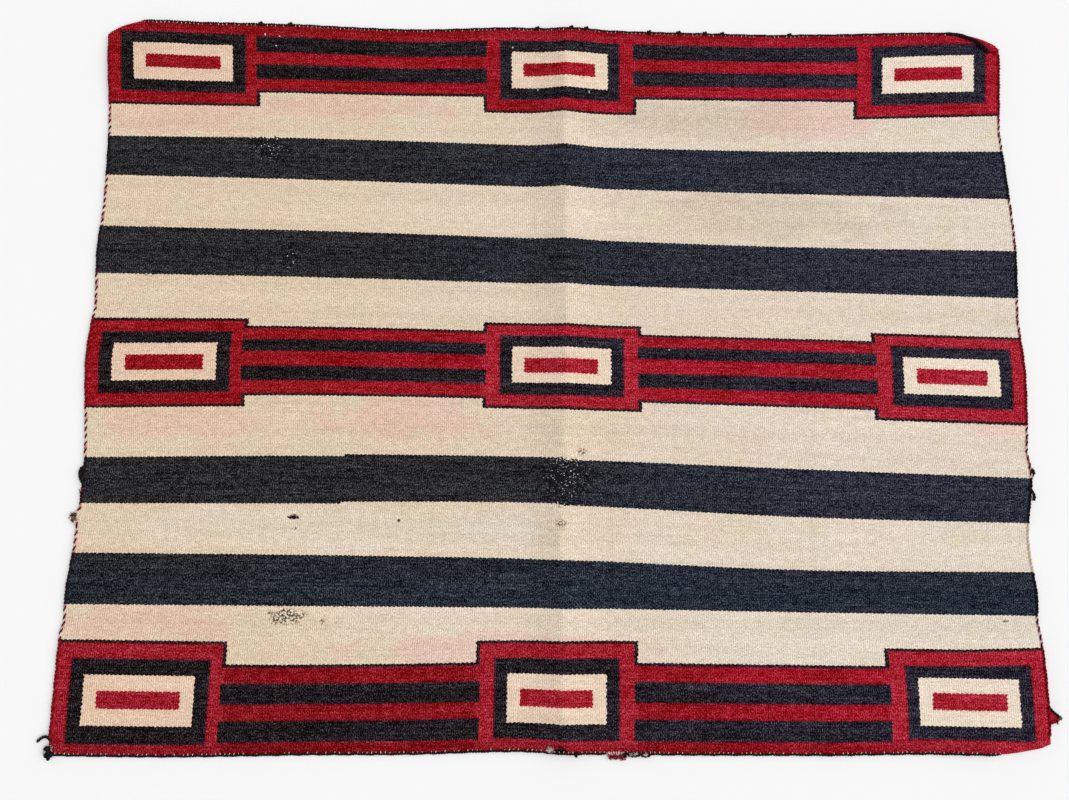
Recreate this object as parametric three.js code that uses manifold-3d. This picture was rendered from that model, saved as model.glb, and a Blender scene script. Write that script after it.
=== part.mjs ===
// A Navajo rug of handspun wool, lying on the floor as it was last unfolded.
// Millimetres, +Z up. +X runs along the wefts to the right, +Y along the warps to the far end, and the
// origin is on the floor under the middle of the rug.
import * as THREE from 'three';
import { mergeVertices } from 'three/addons/utils/BufferGeometryUtils.js';
import Module from 'manifold-3d';

const wasm = await Module();
wasm.setup();

// The cloth and its cords.
const CLOTH_THICKNESS = 4;
const CORD_RADIUS = 2; // to the flats of its six sides, so that a cord is as thick as the cloth
const CORD_GAP = 1.4; // from the cloth's edge to the cord beside it, at their stations
const YARN_WIDTH = 3;
const LAYER_GAP = 0.6; // between the two layers of a turned corner
const LAYER_RISE = CLOTH_THICKNESS + LAYER_GAP;

// The cloth isn't quite square: each edge wanders, as the weaver let it out and drew it in.
// The two ends, from the left side to the right: distance along X, and where the edge lies in Y.
const NEAR_END = [
  { along: -916, lies: -719 },
  { along: -700, lies: -719 },
  { along: -450, lies: -713 },
  { along: -250, lies: -710 },
  { along: -60, lies: -703 },
  { along: 120, lies: -706 },
  { along: 500, lies: -704 },
  { along: 700, lies: -699 },
  { along: 925, lies: -697 },
];
const FAR_END = [
  { along: -922, lies: 723 },
  { along: -750, lies: 723 },
  { along: -550, lies: 718 },
  { along: -300, lies: 709 },
  { along: -80, lies: 716 },
  { along: 60, lies: 716 },
  { along: 300, lies: 708 },
  { along: 480, lies: 707 },
  { along: 750, lies: 714 },
  { along: 914, lies: 711 },
];
// The two sides, from the near end to the far end: distance along Y, and where the edge lies in X.
const LEFT_SIDE = [
  { along: -719, lies: -916 },
  { along: -612, lies: -916 },
  { along: -450, lies: -909 },
  { along: -180, lies: -896 },
  { along: 12, lies: -908 },
  { along: 180, lies: -903 },
  { along: 465, lies: -902 },
  { along: 640, lies: -917 },
  { along: 723, lies: -922 },
];
const RIGHT_SIDE = [
  { along: -697, lies: 925 },
  { along: -612, lies: 917 },
  { along: -420, lies: 911 },
  { along: -312, lies: 899 },
  { along: -190, lies: 916 },
  { along: 12, lies: 918 },
  { along: 230, lies: 916 },
  { along: 465, lies: 904 },
  { along: 640, lies: 910 },
  { along: 711, lies: 914 },
];

// The ridge of the old fold: it runs the length of the rug, a soft tent with a tight crest.
const RIDGE_X = 24;
const RIDGE_LEFT_REACH = 80;
const RIDGE_RIGHT_REACH = 90;
const RIDGE_SHARPNESS = 1.6;
const RIDGE_HEIGHTS = [
  { along: -719, lies: 13 },
  { along: 0, lies: 13 },
  { along: 723, lies: 16 },
];

// Each turned corner: the ends of its crease, the other points of the part that is turned, going on from the
// second end to the first, and the route of the cord along that part's free edges. The cloth over a corner
// that is turned under lies level on it to one distance from its middle, and is down again at the next.
const TURNED_CORNERS = [
  {
    name: 'far_left', over: false,
    crease: [[-922, 679], [-838, 727]],
    turned: [[-881, 655]],
    cord: [[-917, 669], [-900, 660], [-884, 651], [-876, 652], [-870, 661], [-855, 686], [-839, 710]],
    middle: [-885, 688], level: 85, down: 170,
  },
  {
    name: 'far_right', over: true,
    crease: [[814, 714], [911, 681]],
    turned: [[883, 674]],
    cord: [[815, 705], [848, 688], [882, 670], [904, 673]],
  },
  {
    name: 'near_right', over: false,
    crease: [[822, -702], [918, -684]],
    turned: [[921, -651], [938, -641], [914, -613]],
    cord: [[825, -689.5], [868, -650], [911, -610], [918, -611.5], [929, -625], [942, -640.5]],
    middle: [885, -660], level: 105, down: 210,
  },
];
const CORNER_CORD_STEPS = 28;
const BEND_LEG = 1; // how far the bend of a turned corner runs into each layer
const BEND_SHORT = 8; // how far the bend stops short of the crease at each end
const BEND_INSET = 0.05; // how much thinner than the cloth the bend is on each face
const BEND_SEGMENTS = 6;
const CUT_REACH = 60; // how far the cut along a crease runs past its ends, and outwards

// Where each edge cord starts and stops along its edge, short of a turned corner or of the knot.
const END_CORDS = [
  { name: 'end_cord_near', far: false, from: -908, to: 814 },
  { name: 'end_cord_far', far: true, from: -828, to: 806 },
];
const SIDE_CORDS = [
  { name: 'side_cord_left', right: false, from: -690, to: 668 },
  { name: 'side_cord_right', right: true, from: -670, to: 668 },
];

// The knot at the near left corner: its two lobes with their half sizes, and its loose yarn ends.
const KNOT_LOBES = [
  { at: [-923.5, -725.5, 4], half: [9, 8, 5] },
  { at: [-926, -709, 3.5], half: [5.5, 10, 4.5] },
];
const KNOT_YARNS = [
  [[-925, -706], [-926, -696], [-931, -690], [-937, -694], [-941, -702]],
  [[-926, -711], [-932, -708], [-938, -711]],
  [[-923, -727], [-930, -733], [-933, -736]],
];
const KNOT_END_HALF = [4, 4, 3.5]; // the knotted end of the near right corner's cord
const KNOT_END_AT = [944, -643, 3];
const LOBE_SIDES = 10;
const LOBE_RINGS = 6;
const YARN_STEPS = 8;

// The grid that the cloth is drawn on, and where it is drawn finer.
const GRID_STEP = 60;
const RIDGE_STEP = 16;
const CORNER_STEP = 35;
const CORNER_REACH = 210;

const CREAM = 0xd8ccb4;
const CHARCOAL = 0x26252b;
const DARK_RED = 0x4a1620;
const WOOL_ROUGHNESS = 0.95;

// The smooth line through a table's rows, read at one distance along it.
function readAlong(rows, along) {
  const last = rows.length - 1;
  const found = rows.findIndex((row, k) => k > 0 && along <= row.along);
  const b = found < 0 ? last : found;
  const a = b - 1;
  const slopeAt = (k) => {
    const before = rows[Math.max(k - 1, 0)];
    const after = rows[Math.min(k + 1, last)];
    return (after.lies - before.lies) / (after.along - before.along);
  };
  const span = rows[b].along - rows[a].along;
  const t = THREE.MathUtils.clamp((along - rows[a].along) / span, 0, 1);
  const ease = t * t * (3 - 2 * t);
  const leave = slopeAt(a) * span * t * (1 - t) * (1 - t);
  const arrive = slopeAt(b) * span * t * t * (1 - t);
  return THREE.MathUtils.lerp(rows[a].lies, rows[b].lies, ease) + leave - arrive;
}

const first = (rows) => rows[0].along;
const final = (rows) => rows[rows.length - 1].along;

// A point of the cloth in plan: s goes from the left side to the right, t from the near end to the far end.
// The four edges are followed exactly, and the inside is drawn evenly between them.
function onFloor(s, t) {
  const nearX = THREE.MathUtils.lerp(first(NEAR_END), final(NEAR_END), s);
  const farX = THREE.MathUtils.lerp(first(FAR_END), final(FAR_END), s);
  const leftY = THREE.MathUtils.lerp(first(LEFT_SIDE), final(LEFT_SIDE), t);
  const rightY = THREE.MathUtils.lerp(first(RIGHT_SIDE), final(RIGHT_SIDE), t);
  const bowX = THREE.MathUtils.lerp(
    readAlong(LEFT_SIDE, leftY) - THREE.MathUtils.lerp(first(NEAR_END), first(FAR_END), t),
    readAlong(RIGHT_SIDE, rightY) - THREE.MathUtils.lerp(final(NEAR_END), final(FAR_END), t), s,
  );
  const bowY = THREE.MathUtils.lerp(
    readAlong(NEAR_END, nearX) - THREE.MathUtils.lerp(first(LEFT_SIDE), first(RIGHT_SIDE), s),
    readAlong(FAR_END, farX) - THREE.MathUtils.lerp(final(LEFT_SIDE), final(RIGHT_SIDE), s), t,
  );
  const x = THREE.MathUtils.lerp(nearX, farX, t) + bowX;
  const y = THREE.MathUtils.lerp(leftY, rightY, s) + bowY;
  return new THREE.Vector3(x, y, 0);
}

// How far the cloth's underside stands off the floor.
function standsOff(x, y) {
  const aside = (x - RIDGE_X) / (x < RIDGE_X ? RIDGE_LEFT_REACH : RIDGE_RIGHT_REACH);
  const ridge = readAlong(RIDGE_HEIGHTS, y) * Math.max(0, 1 - Math.abs(aside)) ** RIDGE_SHARPNESS;
  const corners = TURNED_CORNERS.filter((corner) => !corner.over).map((corner) => {
    const away = Math.hypot(x - corner.middle[0], y - corner.middle[1]);
    return LAYER_RISE * (1 - THREE.MathUtils.smoothstep(away, corner.level, corner.down));
  });
  return Math.max(ridge, ...corners);
}

// Grid lines from one edge to the other, with smaller steps inside the zones.
function gridLines(from, to, zones) {
  const lines = [from];
  while (lines.at(-1) < to) {
    const here = lines.at(-1);
    const inside = zones.find((zone) => here >= zone.from && here < zone.to);
    const ahead = zones.map((zone) => zone.from).filter((start) => start > here);
    const limit = Math.min(to, inside ? inside.to : Math.min(...ahead, to));
    const count = Math.ceil((limit - here) / (inside ? inside.step : GRID_STEP));
    lines.push(count <= 1 ? limit : here + (limit - here) / count);
  }
  return lines.map((line) => (line - from) / (to - from));
}

function cornerZones(from, to) {
  return [
    { from, to: from + CORNER_REACH, step: CORNER_STEP },
    { from: to - CORNER_REACH, to, step: CORNER_STEP },
  ];
}

const ridgeZone = { from: RIDGE_X - RIDGE_LEFT_REACH, to: RIDGE_X + RIDGE_RIGHT_REACH, step: RIDGE_STEP };
const [leftX, rightX] = [first(NEAR_END), final(NEAR_END)];
const [nearY, farY] = [first(LEFT_SIDE), final(LEFT_SIDE)];
const across = gridLines(leftX, rightX, [...cornerZones(leftX, rightX), ridgeZone]);
const lengthwise = gridLines(nearY, farY, cornerZones(nearY, farY));

// The closed sheet on that grid: its underside, its top, and the walls round its edge.
function sheetGeometry() {
  const positions = [];
  const faces = [];
  for (const level of [0, CLOTH_THICKNESS]) {
    for (const t of lengthwise) {
      for (const s of across) {
        const { x, y } = onFloor(s, t);
        positions.push(x, y, standsOff(x, y) + level);
      }
    }
  }
  const columns = across.length;
  const rows = lengthwise.length;
  const at = (top, i, j) => (top * rows + j) * columns + i;
  const quad = (a, b, c, d) => faces.push(a, b, c, a, c, d);
  for (let j = 0; j + 1 < rows; j += 1) {
    for (let i = 0; i + 1 < columns; i += 1) {
      quad(at(1, i, j), at(1, i + 1, j), at(1, i + 1, j + 1), at(1, i, j + 1));
      quad(at(0, i, j), at(0, i, j + 1), at(0, i + 1, j + 1), at(0, i + 1, j));
    }
  }
  for (let i = 0; i + 1 < columns; i += 1) {
    quad(at(0, i, 0), at(0, i + 1, 0), at(1, i + 1, 0), at(1, i, 0));
    quad(at(0, i + 1, rows - 1), at(0, i, rows - 1), at(1, i, rows - 1), at(1, i + 1, rows - 1));
  }
  for (let j = 0; j + 1 < rows; j += 1) {
    quad(at(0, 0, j + 1), at(0, 0, j), at(1, 0, j), at(1, 0, j + 1));
    quad(at(0, columns - 1, j), at(0, columns - 1, j + 1), at(1, columns - 1, j + 1), at(1, columns - 1, j));
  }
  const geometry = new THREE.BufferGeometry();
  geometry.setAttribute('position', new THREE.Float32BufferAttribute(positions, 3));
  geometry.setIndex(faces);
  return geometry;
}

function solidOf(geometry) {
  const bare = geometry.clone();
  bare.deleteAttribute('normal');
  bare.deleteAttribute('uv');
  const merged = mergeVertices(bare, 1e-3);
  return new wasm.Manifold(new wasm.Mesh({
    numProp: 3,
    vertProperties: Float32Array.from(merged.attributes.position.array),
    triVerts: Uint32Array.from(merged.index.array),
  }));
}

function geometryOf(solid) {
  const mesh = solid.getMesh();
  const geometry = new THREE.BufferGeometry();
  geometry.setAttribute('position', new THREE.BufferAttribute(mesh.vertProperties, mesh.numProp));
  geometry.setIndex(new THREE.BufferAttribute(mesh.triVerts, 1));
  geometry.computeVertexNormals();
  return geometry;
}

// Turns one corner of the cloth along its crease: the corner is cut off at the hinge of the bend, the bend
// joins on there, and the turned part lies over or under the rest.
function turnCorner(cloth, corner) {
  const [start, end] = corner.crease.map(([x, y]) => new THREE.Vector3(x, y, 0));
  const length = start.distanceTo(end);
  const up = new THREE.Vector3(0, 0, 1);
  const outward = end.clone().sub(start).cross(up).normalize();
  if (outward.dot(start) < 0) outward.negate();
  const run = outward.clone().cross(up);
  const hingeInset = LAYER_GAP / 2 + CLOTH_THICKNESS;
  const hinge = [start, end].map((point) => point.clone().addScaledVector(outward, -hingeInset));
  const origin = run.dot(end.clone().sub(start)) > 0 ? hinge[0] : hinge[1];
  const place = new THREE.Matrix4().makeBasis(outward, up, run).setPosition(origin);

  const cut = new THREE.BoxGeometry(CUT_REACH, CUT_REACH, length + 2 * CUT_REACH);
  cut.translate(CUT_REACH / 2, 0, length / 2);

  const inner = LAYER_GAP / 2 + BEND_INSET;
  const outer = hingeInset - BEND_INSET;
  const section = new THREE.Shape();
  section.moveTo(-BEND_LEG, -outer);
  section.lineTo(0, -outer);
  section.absarc(0, 0, outer, -Math.PI / 2, Math.PI / 2, false);
  section.lineTo(-BEND_LEG, outer);
  section.lineTo(-BEND_LEG, inner);
  section.lineTo(0, inner);
  section.absarc(0, 0, inner, Math.PI / 2, -Math.PI / 2, true);
  section.lineTo(-BEND_LEG, -inner);
  section.closePath();
  const bend = new THREE.ExtrudeGeometry(section, {
    depth: length - 2 * BEND_SHORT, bevelEnabled: false, curveSegments: BEND_SEGMENTS,
  });
  bend.translate(0, hingeInset, BEND_SHORT);

  const outline = [...hinge, ...corner.turned.map(([x, y]) => new THREE.Vector3(x, y, 0))];
  const flap = new THREE.ExtrudeGeometry(new THREE.Shape(outline.map(({ x, y }) => new THREE.Vector2(x, y))), {
    depth: CLOTH_THICKNESS, bevelEnabled: false,
  });
  flap.translate(0, 0, corner.over ? LAYER_RISE : 0);

  return cloth
    .subtract(solidOf(cut.applyMatrix4(place)))
    .add(solidOf(bend.applyMatrix4(place)))
    .add(solidOf(flap));
}

// A round bundle of yarn along a path, drawn with six sides and level flats.
function cordGeometry(points, steps) {
  const corner = CORD_RADIUS / Math.cos(Math.PI / 6);
  const section = new THREE.Shape(Array.from({ length: 6 }, (_, k) => {
    const angle = (k + 0.5) * (Math.PI / 3);
    return new THREE.Vector2(corner * Math.cos(angle), corner * Math.sin(angle));
  }));
  return new THREE.ExtrudeGeometry(section, {
    extrudePath: new THREE.CatmullRomCurve3(points), steps, bevelEnabled: false,
  });
}

// The stretch of an edge between two distances along it, moved out to where its cord lies.
function besideEdge(lines, from, to, pointAt, outX, outY) {
  const reach = CORD_GAP + CORD_RADIUS / Math.cos(Math.PI / 6);
  const along = (point) => (outX === 0 ? point.x : point.y);
  const edge = lines.map(pointAt).filter((point) => along(point) > from && along(point) < to);
  return edge.map(({ x, y }) => new THREE.Vector3(
    x + outX * reach, y + outY * reach, standsOff(x, y) + CORD_RADIUS,
  ));
}

function lobe({ at, half }) {
  const ball = new THREE.SphereGeometry(1, LOBE_SIDES, LOBE_RINGS);
  ball.rotateX(Math.PI / 2);
  ball.scale(...half);
  ball.translate(...at);
  const floor = new THREE.BoxGeometry(CUT_REACH, CUT_REACH, CUT_REACH);
  floor.translate(at[0], at[1], -CUT_REACH / 2);
  return solidOf(ball).subtract(solidOf(floor));
}

function yarn(route) {
  const half = YARN_WIDTH / 2;
  const section = new THREE.Shape([
    new THREE.Vector2(-half, -half), new THREE.Vector2(half, -half),
    new THREE.Vector2(half, half), new THREE.Vector2(-half, half),
  ]);
  const path = new THREE.CatmullRomCurve3(route.map(([x, y]) => new THREE.Vector3(x, y, half)));
  return solidOf(new THREE.ExtrudeGeometry(section, { extrudePath: path, steps: YARN_STEPS, bevelEnabled: false }));
}

const rug = new THREE.Group();

function addPiece(name, geometry, color) {
  const material = new THREE.MeshStandardMaterial({ color, roughness: WOOL_ROUGHNESS, metalness: 0 });
  const mesh = new THREE.Mesh(geometry, material);
  mesh.name = name;
  rug.add(mesh);
}

// The woven cloth, with its three turned corners.
addPiece('woven_cloth', geometryOf(TURNED_CORNERS.reduce(turnCorner, solidOf(sheetGeometry()))), CREAM);

// The twined cords along the two ends and the two sides.
for (const { name, far, from, to } of END_CORDS) {
  const points = besideEdge(across, from, to, (s) => onFloor(s, far ? 1 : 0), 0, far ? 1 : -1);
  addPiece(name, cordGeometry(points, points.length - 1), CHARCOAL);
}
for (const { name, right, from, to } of SIDE_CORDS) {
  const points = besideEdge(lengthwise, from, to, (t) => onFloor(right ? 1 : 0, t), right ? 1 : -1, 0);
  addPiece(name, cordGeometry(points, points.length - 1), DARK_RED);
}

// The stretches of cord that go round with the turned corners. One lies on top of the cloth, the others on
// the floor, and the one that comes out at the near right corner ends in a small knot.
for (const { name, over, cord } of TURNED_CORNERS) {
  const level = (over ? LAYER_RISE : 0) + CORD_RADIUS;
  const plain = cordGeometry(cord.map(([x, y]) => new THREE.Vector3(x, y, level)), CORNER_CORD_STEPS);
  const knotted = name === 'near_right';
  const ended = knotted && solidOf(plain).add(lobe({ at: KNOT_END_AT, half: KNOT_END_HALF }));
  addPiece(`corner_cord_${name}`, knotted ? geometryOf(ended) : plain, CHARCOAL);
}

// The corner knot with its loose yarn ends.
const knot = [...KNOT_LOBES.map(lobe), ...KNOT_YARNS.map(yarn)].reduce((whole, piece) => whole.add(piece));
addPiece('corner_knot_near_left', geometryOf(knot), CHARCOAL);

export default rug;
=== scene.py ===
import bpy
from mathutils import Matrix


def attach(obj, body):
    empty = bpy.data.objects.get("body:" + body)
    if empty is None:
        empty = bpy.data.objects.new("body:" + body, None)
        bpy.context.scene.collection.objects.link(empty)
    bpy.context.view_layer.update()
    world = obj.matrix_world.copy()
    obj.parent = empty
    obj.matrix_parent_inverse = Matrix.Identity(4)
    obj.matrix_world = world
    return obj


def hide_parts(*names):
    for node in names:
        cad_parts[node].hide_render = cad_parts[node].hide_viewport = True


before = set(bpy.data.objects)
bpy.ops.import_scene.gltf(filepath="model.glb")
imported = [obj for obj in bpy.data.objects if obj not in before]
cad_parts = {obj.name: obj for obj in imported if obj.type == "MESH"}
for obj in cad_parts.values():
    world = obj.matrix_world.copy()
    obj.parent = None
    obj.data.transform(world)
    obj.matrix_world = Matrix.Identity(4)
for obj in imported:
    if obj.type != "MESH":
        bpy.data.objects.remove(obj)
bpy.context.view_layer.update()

import math

import bmesh
import bpy
import numpy as np

# The woven cloth: one piece of handspun wool tapestry, its warps hidden under wefts beaten down hard, so both
# faces are alike and finely ribbed. Woven to its edges on an upright loom, which is why they wander, it lies
# as it was last unfolded, with one fold standing up along its middle and three corners turned.
WIDTH = 1.826  # along the wefts, as charted
NEAR_V = -0.708  # the two ends, as charted along the warps
FAR_V = 0.715
CLOTH_THICKNESS = 0.004
LAYER_GAP = 0.0006
LAYER_RISE = CLOTH_THICKNESS + LAYER_GAP
WARP_PITCH = 0.00403
RIB_DEPTH = 0.0009
ROWS = 40
SELVAGE = 0.0015  # the turns of the wefts, beyond the last warp

# The four edges: distance along the edge, and where it lies across.
NEAR_END = [
    (-0.916, -0.719), (-0.700, -0.719), (-0.450, -0.713), (-0.250, -0.710), (-0.060, -0.703),
    (0.120, -0.706), (0.500, -0.704), (0.700, -0.700), (0.845, -0.700), (0.925, -0.7025),
]
FAR_END = [
    (-0.922, 0.723), (-0.750, 0.721), (-0.550, 0.718), (-0.300, 0.709), (-0.090, 0.7155),
    (-0.035, 0.713), (0.015, 0.7085), (0.065, 0.712), (0.170, 0.7085), (0.300, 0.7065),
    (0.480, 0.704), (0.750, 0.7125), (0.914, 0.711),
]
LEFT_SIDE = [
    (-0.719, -0.915), (-0.612, -0.914), (-0.508, -0.912), (-0.480, -0.907), (-0.430, -0.908),
    (-0.330, -0.8985), (-0.180, -0.8935), (0.012, -0.907), (0.080, -0.903), (0.123, -0.898),
    (0.180, -0.901), (0.245, -0.903), (0.325, -0.8975), (0.465, -0.899), (0.560, -0.9045),
    (0.640, -0.9115), (0.723, -0.919),
]
RIGHT_SIDE = [
    (-0.7025, 0.9145), (-0.612, 0.916), (-0.500, 0.913), (-0.461, 0.909), (-0.420, 0.912), (-0.312, 0.903),
    (-0.190, 0.9175), (-0.150, 0.912), (-0.100, 0.9155), (0.012, 0.919), (0.112, 0.912), (0.172, 0.9145),
    (0.270, 0.917), (0.420, 0.9075), (0.500, 0.901), (0.560, 0.9045), (0.640, 0.910), (0.711, 0.914),
]
# The weft lines that drift most: where each is charted, then how far off that it lies at the left side,
# at a quarter across, in the middle, at three quarters and at the right side.
QUARTERS = [0.0, 0.24, 0.5, 0.76, 1.0]
WEFT_DRIFT = [
    (-0.514, -0.004, -0.005, 0.004, 0.003, 0.001),
    (-0.449, 0.000, 0.001, 0.002, -0.001, -0.003),
    (-0.363, 0.007, 0.007, 0.003, -0.012, -0.011),
    (-0.265, 0.003, 0.007, 0.009, -0.009, -0.016),
    (-0.178, 0.002, 0.009, 0.007, -0.007, -0.020),
    (0.008, 0.004, 0.010, 0.004, -0.0035, -0.013),
    (0.175, 0.016, 0.011, 0.002, -0.008, -0.017),
    (0.268, 0.018, 0.011, -0.001, -0.013, -0.016),
    (0.378, 0.017, 0.010, -0.001, -0.010, -0.016),
    (0.464, 0.011, 0.009, -0.002, -0.009, -0.004),
    (0.537, 0.007, 0.003, -0.002, -0.004, -0.006),
]
# The fold that stands up along the middle. Its crest wanders in waves: how far, how fast and from where.
RIDGE_X = 0.024
RIDGE_WAVES = [(0.003, 7.0, 0.6), (0.0015, 23.0, 0.0)]
RIDGE_LEFT_REACH = 0.080
RIDGE_RIGHT_REACH = 0.090
RIDGE_SHARPNESS = 1.6
RIDGE_ROUNDING = 0.0016
RIDGE_HEIGHTS = [(-0.719, 0.013), (0.0, 0.013), (0.723, 0.016)]
# The lesser creases of the old folding: across, height and half width of each soft ridge along the warps.
OLD_CREASES = [(0.520, 0.0016, 0.030), (-0.524, 0.0012, 0.036)]
CREASE_WANDER = 0.004
PUCKER_HEIGHT = 0.0008  # of the slight waves all over the cloth
# Where the left side was pulled out to a point: its distance along, how far, over what half length, and
# the wefts' rows that are added there.
PULL_AT = -0.291
PULL_OUT = 0.0145
PULL_HALF = 0.010
PULL_REACH = 0.014  # in from the side
PULL_ROWS = [-0.311, -0.302, -0.2965, -0.291, -0.2855, -0.280, -0.271]
# The turned corners: both ends of the crease, how far it swells out along its length, whether the corner
# lies over or under, and how much of its depth is left once it has curled, and how far it slid along. The
# cloth over an under-turned one is level to one distance and down at the next.
TURNED_CORNERS = [
    {"crease": ((-0.924, 0.681), (-0.838, 0.728)), "over": False, "depth": 1.0, "slide": 0.0,
     "swell": [(0.0, 0.0), (0.011, 0.0095), (0.033, 0.0125), (0.051, 0.0115), (0.076, 0.0062),
               (0.0925, 0.002), (0.098, 0.0)],
     "middle": (-0.885, 0.688), "level": 0.085, "down": 0.170},
    {"crease": ((0.814, 0.715), (0.911, 0.681)), "over": True, "depth": 0.62, "slide": -0.8,
     "swell": [(0.0, 0.0), (0.0104, 0.003), (0.0344, 0.007), (0.060, 0.0088), (0.0774, 0.0078),
               (0.0953, 0.0048), (0.1028, 0.0)]},
    {"crease": ((0.822, -0.703), (0.917, -0.684)), "over": False, "depth": 1.0, "slide": 0.0,
     "swell": [(0.0, 0.0), (0.030, 0.0024), (0.052, 0.003), (0.082, 0.003), (0.090, 0.001), (0.097, 0.0)],
     "middle": (0.885, -0.660), "level": 0.105, "down": 0.210},
]
BEND_RADIUS = (CLOTH_THICKNESS + LAYER_GAP) / 2
BEND_CUT = 0.0013  # between the cuts that let the cloth bend
CORNER_REACH = 0.12  # from the middle of a crease to the farthest cloth that turns with it
CUT_REACH = 0.16
# The tip of the near right corner, which comes out from under the right side: its outline, how far to the
# side its wool is charted and the red weft that it is part of.
TIP_OUTLINE = [
    (0.880, -0.668), (0.920, -0.6505), (0.937, -0.644), (0.942, -0.639), (0.914, -0.613), (0.890, -0.628),
]
TIP_ASIDE = 0.3
TIP_V = -0.566
SLOPE_STEP = 0.002  # over which the cloth's slope is taken
BAKE_MARGIN = 0.004


def smooth_between(places, values, at):
    """The smooth lines through values, one for each place, read at the distances given."""
    places = np.asarray(places, float)
    values = np.broadcast_to(np.asarray(values, float), (len(at), len(places)))
    count = np.arange(len(places))
    before = np.maximum(count - 1, 0)
    after = np.minimum(count + 1, len(places) - 1)
    slopes = (values[:, after] - values[:, before]) / (places[after] - places[before])
    b = np.clip(np.searchsorted(places, at), 1, len(places) - 1)
    a = b - 1
    row = np.arange(len(at))
    span = places[b] - places[a]
    t = np.clip((at - places[a]) / span, 0, 1)
    ease = t * t * (3 - 2 * t)
    leave = slopes[row, a] * span * t * (1 - t) ** 2
    arrive = slopes[row, b] * span * t * t * (1 - t)
    return values[row, a] * (1 - ease) + values[row, b] * ease + leave - arrive


def smooth_line(rows, at):
    return smooth_between([row[0] for row in rows], [row[1] for row in rows], np.asarray(at, float))


def weft_line(across, v):
    """How far along the floor a weft lies, where across goes from 0 at the left side to 1 at the right."""
    near = smooth_line(NEAR_END, NEAR_END[0][0] + across * (NEAR_END[-1][0] - NEAR_END[0][0]))
    far = smooth_line(FAR_END, FAR_END[0][0] + across * (FAR_END[-1][0] - FAR_END[0][0]))
    drifted = [row[0] + smooth_between(QUARTERS, row[1:], across) for row in WEFT_DRIFT]
    charted = [NEAR_V] + [row[0] for row in WEFT_DRIFT] + [FAR_V]
    inside = np.clip(v, NEAR_V, FAR_V)
    return smooth_between(charted, np.stack([near] + drifted + [far], axis=1), inside) + v - inside


def on_floor(u, v):
    """The place in plan of a point of the weave."""
    u = np.asarray(u, float)
    v = np.asarray(v, float)
    across = u / WIDTH + 0.5
    left = smooth_line(LEFT_SIDE, weft_line(np.zeros_like(v), v)) - SELVAGE
    right = smooth_line(RIGHT_SIDE, weft_line(np.ones_like(v), v)) + SELVAGE
    y = weft_line(across, v)
    pull = PULL_OUT * np.exp(-((y - PULL_AT) / PULL_HALF) ** 2 - across * WIDTH / PULL_REACH)
    return left + across * (right - left) - pull, y


def in_weave(point):
    """The point of the weave at a place in plan."""
    u = np.array([point[0]])
    v = np.array([point[1]])
    for _ in range(8):
        x, y = on_floor(u, v)
        u = u + point[0] - x
        v = v + point[1] - y
    return float(u[0]), float(v[0])


def stands_off(x, y):
    """How far the cloth's underside stands off the floor."""
    crest = RIDGE_X + sum(far * np.sin(y * fast + start) for far, fast, start in RIDGE_WAVES)
    aside = (x - crest) / np.where(x < crest, RIDGE_LEFT_REACH, RIDGE_RIGHT_REACH)
    tent = np.maximum(0, 1 - np.sqrt(aside * aside + RIDGE_ROUNDING))
    off = smooth_line(RIDGE_HEIGHTS, y) * tent ** RIDGE_SHARPNESS
    for corner in TURNED_CORNERS:
        if not corner["over"]:
            away = np.hypot(x - corner["middle"][0], y - corner["middle"][1])
            t = np.clip((away - corner["level"]) / (corner["down"] - corner["level"]), 0, 1)
            off = np.maximum(off, LAYER_RISE * (1 - t * t * (3 - 2 * t)))
    for place, height, half in OLD_CREASES:
        off = off + height * np.exp(-((x - place - CREASE_WANDER * np.sin(y * 9.0)) / half) ** 2)
    pucker = 0.5 + 0.22 * np.sin(x * 21.0 + 3.0 * np.sin(y * 6.0))
    pucker = pucker + 0.28 * np.sin(y * 17.0 + 2.0 * np.sin(x * 5.0))
    return off + PUCKER_HEIGHT * pucker


def along_crease(start, end):
    """The direction of a crease from its first point, and the direction out to the corner."""
    run = (end - start) / np.linalg.norm(end - start)
    outward = np.array([run[1], -run[0]])
    if outward @ start < 0:
        outward = -outward
    return run, outward


def turned(places, out, corner):
    """Takes the points beyond a corner's crease round the bend, with the way that their face looks."""
    start, end = (np.array(point) for point in corner["crease"])
    run, outward = along_crease(start, end)
    swell = smooth_line(corner["swell"], (places[:, :2] - start) @ run)
    beyond = (places[:, :2] - start) @ outward - swell + LAYER_GAP / 2 + CLOTH_THICKNESS
    near_corner = np.hypot(*(places[:, :2] - (start + end) / 2).T) < CORNER_REACH
    moved = (beyond > 0) & near_corner
    beyond = beyond[moved]
    angle = np.minimum(beyond / BEND_RADIUS, math.pi)
    flat = np.maximum(beyond - math.pi * BEND_RADIUS, 0) * corner["depth"]
    lift = 1 if corner["over"] else -1
    shift = BEND_RADIUS * np.sin(angle) - flat - beyond
    places[moved, :2] += shift[:, None] * outward + (corner["slide"] * flat)[:, None] * run
    places[moved, 2] += lift * BEND_RADIUS * (1 - np.cos(angle))
    out[moved, :2] = -lift * np.sin(angle)[:, None] * outward
    out[moved, 2] = np.cos(angle)


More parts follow.
